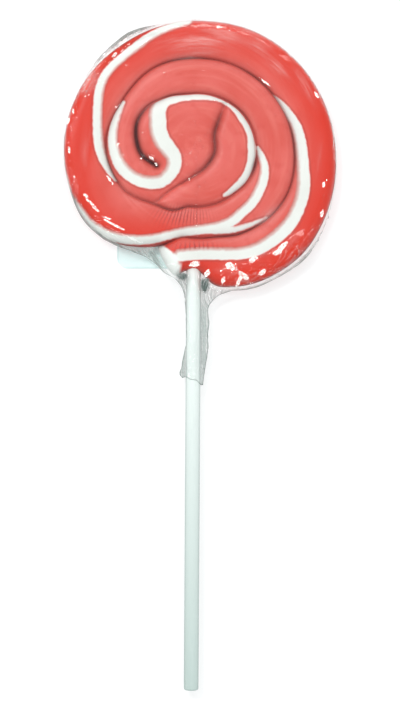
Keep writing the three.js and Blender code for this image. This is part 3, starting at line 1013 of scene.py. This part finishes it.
def film_half(points, to_edge):
    """Half the film's thickness before its wrinkles, where the candy is, and how far its rim."""
    body = smooth_step(-45, -33, points[:, 1])
    free = (0.3 + 3.5 * body) * shoulder(to_edge, 0.35 + 2.8 * body)
    off_stick = np.abs(points[:, 0] - stick_middle(points[:, 1]))
    over_stick = np.sqrt(np.clip((STICK_RADIUS + FILM_OVER_STICK) ** 2 - off_stick**2, 0, None))
    loose = (free**4 + over_stick**4) ** 0.25

    to_groove, _, _ = nearest(GROOVE, points)
    to_fold, _, _ = nearest(FOLD, points)
    bridged = np.minimum(to_groove, to_fold) * 0.4 + 1.5
    sunk = GROOVE_DEPTH * (1 - shoulder(bridged, GROOVE_SHOULDER))
    to_rim, _, _ = nearest(OUTLINE, points)
    inside = inside_line(OUTLINE, points)
    taut = (CANDY_THICKNESS / 2 - sunk) * shoulder(to_rim, RIM_ROUND) + FILM_OVER_CANDY
    return np.maximum(loose, np.where(inside, taut, 0)), inside, to_rim


def between(points, first, last):
    """1 for places between two angles round the swirl, falling softly to 0 outside them."""
    angle = np.degrees(np.arctan2(points[:, 1], points[:, 0]))
    return smooth_step(first, first + 12, angle) * (1 - smooth_step(last - 12, last, angle))


def hem_shade_line(points, to_edge, beyond):
    """Painted shade along the film's doubled edge, where it hangs beyond the candy or is slack."""
    slack = between(points, -168, -118)
    width = 0.32 + 0.6 * slack + 0.4 * between(points, 98, 162)
    free = np.maximum(smooth_step(0.6, 1.5, beyond), slack)
    return (1 - smooth_step(0.4, 1, to_edge / width)) * free * (0.5 + 0.4 * slack)


def crumple(points, to_edge):
    """How crumpled the film is: most at the lower right, round the rim and at a few pinches."""
    near_rim = 1 - smooth_step(1.0, 4.0, to_edge)
    upper_left = between(points, 98, 162)
    lower_left = between(points, -170, -118)
    amount = (0.22 + 0.7 * upper_left + 0.45 * lower_left) * near_rim
    amount += between(points, -82, -36) * (1 - smooth_step(4.0, 7.5, to_edge))
    for x, y, radius, strength in PINCHES:
        amount += strength * bell(np.hypot(points[:, 0] - x, points[:, 1] - y), radius)
    return np.clip(amount, 0, 1)


def ragged_edges():
    """The film's rows with their left and right edges, made ragged where the film is slack."""
    rows, left, right = film_edges()
    rng = np.random.default_rng(7)
    ragged = []
    for _ in range(2):
        knots = np.sort(rng.uniform(rows[-1], rows[0], RAGGED_KNOTS))
        reach = rng.normal(0, RAGGED_REACH, RAGGED_KNOTS)
        ragged.append(np.abs(np.interp(rows, knots, reach)))
    ragged = np.array(ragged) * (0.3 + 0.7 * smooth_step(-50, -38, rows))
    lower_left = 1 - smooth_step(-30, -24, rows)
    ragged[0] *= np.clip(smooth_step(14, 24, rows) + lower_left, 0.2, 1)
    ragged[1] *= np.clip(1 - smooth_step(-20, -12, rows), 0.2, 1)
    tip = ((left[0] + right[0]) / 2, rows[0])
    return tip, rows[1:], (left - ragged[0])[1:], (right + ragged[1])[1:]


def film_lattice():
    """Places on the film in plan, their faces, and the first place of each row below the tip."""
    tip, rows, left, right = ragged_edges()
    even = np.arange(FILM_COLUMNS + 1)
    shares = 0.5 - 0.5 * np.cos(np.pi * even / FILM_COLUMNS)
    shares = 0.6 * shares + 0.4 * even / FILM_COLUMNS
    places = [np.array((tip,))]
    for a, b, y in zip(left, right, rows):
        places.append(np.column_stack((a + (b - a) * shares, np.full(len(shares), y))))
    firsts = 1 + np.arange(FILM_ROWS) * (FILM_COLUMNS + 1)
    faces = [[0, 1 + j, 2 + j] for j in range(FILM_COLUMNS)]
    for a, b in zip(firsts[:-1], firsts[1:]):
        faces += [[a + j, b + j, b + j + 1, a + j + 1] for j in range(FILM_COLUMNS)]
    return np.vstack(places), faces, firsts


def film_pleats(places):
    """Places across and along the pull to the film's throat, and the rise of its pleats."""
    x, y = (places - THROAT).T
    in_neck = 1 - smooth_step(*NECK, places[:, 1])
    gather = np.arctan2(x, y) * 16 * (1 - in_neck) + x * 1.6 * in_neck
    reach = np.hypot(x, y)
    rise = np.sin(gather * 1.9 + 1.7 * np.sin(reach * 0.3)) * 0.6 + np.sin(gather * 4.3 + 2) * 0.4
    return gather, reach, rise


def film_crumples(places):
    """The rise of small crumples that run both ways."""
    x, y = places.T
    return np.sin(x * 2.3 + 2 * np.sin(y * 1.1)) * np.sin(y * 2.9 + 1.5 * np.sin(x * 1.3))


def mouth_faces(source, side, last):
    """Faces that close the film at the sleeve's end, from the last row's first place."""
    below = np.flatnonzero(side < 0)
    under = dict(zip(source[below].tolist(), below.tolist()))
    mouth = [(last + j, under.get(last + j, last + j)) for j in range(FILM_COLUMNS + 1)]
    return [
        list(dict.fromkeys((top_a, low_a, low_b, top_b)))
        for (top_a, low_a), (top_b, low_b) in zip(mouth[:-1], mouth[1:])
    ]


def make_film(material):
    places, faces, firsts = film_lattice()
    rim = np.concatenate(((0,), firsts, firsts + FILM_COLUMNS))
    edge = np.vstack((places[firsts][::-1], places[:1], places[firsts + FILM_COLUMNS]))
    to_edge, _, _ = nearest(edge[::2], places)
    half, inside, to_rim = film_half(places, to_edge)
    off_stick = np.abs(places[:, 0] - stick_middle(places[:, 1]))
    beside = smooth_step(STICK_RADIUS - 0.15, STICK_RADIUS + 0.3, off_stick)
    slack = np.where(inside, 0, smooth_step(0.1, 1.6, to_rim)) * (0.12 + 0.88 * beside)
    fin = beside * (1 - smooth_step(-45, -41.5, places[:, 1]))
    gather, reach, pleats = film_pleats(places)
    crumpled = crumple(places, to_edge)
    wrinkles = PLEAT_HEIGHT * slack * (1 - fin) * pleats
    wrinkles += CRUMPLE_HEIGHT * crumpled * film_crumples(places)
    half = np.maximum(half + wrinkles * shoulder(to_edge, 1.5), THINNEST_FILM)

    sleeve_end = FILM_LEFT[-1][1]
    shaped = places.copy()
    end = np.interp(places[:, 0], *np.array(SLEEVE_END).T)
    shaped[:, 1] += (end - sleeve_end) * np.clip((-60 - places[:, 1]) / 6, 0, 1)
    source, side, all_faces = both_sides(places, faces, rim)
    points = np.column_stack((shaped[source], half[source] * side))
    values = {
        "slack": slack,
        "fin": fin,
        "crumpled": crumpled,
        "gather": gather,
        "reach": reach,
        "hem_shade": hem_shade_line(places, to_edge, np.where(inside, 0, to_rim)),
        "pocket_shade": sum(patch(places, *spot, 0) for spot in SHADED_POCKETS),
        "around": np.arctan2(*places.T) * FILM_RADIUS,
        "outward": np.hypot(*places.T),
    }
    on_face = {
        "painted_sheen": sum(spot[5] * patch(places, *spot[:5]) for spot in PAINTED_SHEENS),
        # Painted shade: a dark line where the sleeve ends
        "lip_shade": bell(np.clip(places[:, 1] - sleeve_end, 0, None), 0.35),
        "painted_glint": sum(patch(places, *spot) for spot in PAINTED_GLINTS),
    }
    values = {name: numbers[source] for name, numbers in values.items()}
    values.update({name: numbers[source] * (side > 0) for name, numbers in on_face.items()})
    all_faces += mouth_faces(source, side, firsts[-1])
    mesh = make_mesh("film_wrap", points, all_faces, values)
    mesh.materials.append(material)
    return settle(link_piece("film_wrap", mesh), "film")


def add_light(name, size, place, power):
    lamp = bpy.data.lights.new(name, "AREA")
    lamp.shape = "RECTANGLE"
    lamp.size, lamp.size_y = size
    lamp.energy = power
    light = bpy.data.objects.new(name, lamp)
    light.location = place
    light.rotation_euler = (Vector(LIT_PLACE) - Vector(place)).to_track_quat("-Z", "Y").to_euler()
    bpy.context.scene.collection.objects.link(light)


def set_studio():
    low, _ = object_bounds()
    bpy.ops.mesh.primitive_plane_add(size=FLOOR_SIZE, location=(0, 0, low[2] - FLOOR_GAP))
    floor = bpy.context.object
    floor.name = "floor"
    floor.data.materials.append(pale_floor())

    world = bpy.data.worlds.new("studio")
    bpy.context.scene.world = world
    world.use_nodes = True
    room = world.node_tree.nodes["Background"]
    room.inputs["Color"].default_value = ROOM_TINT
    room.inputs["Strength"].default_value = ROOM_LIGHT
    for light in LIGHTS:
        add_light(*light)
    bpy.context.scene.view_settings.view_transform = "Standard"


def set_camera():
    """Straight above the middle, as far off as shows the lollipop at the photo's size."""
    low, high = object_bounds()
    view_length = (high[1] - low[1]) * PHOTO_HEIGHT / LOLLIPOP_HEIGHT
    camera = bpy.data.cameras.new("camera")
    camera.lens = LENS
    camera.sensor_width = SENSOR
    place = bpy.data.objects.new("camera", camera)
    height = view_length * LENS / SENSOR + MID_HEIGHT * MM
    place.location = ((low[0] + high[0]) / 2, (low[1] + high[1]) / 2, height)
    bpy.context.scene.collection.objects.link(place)
    bpy.context.scene.camera = place


set_camera()
make_candy(boiled_sugar())
make_stick(rolled_paper())
make_label(smooth_panel())
make_film(clear_film())
set_studio()
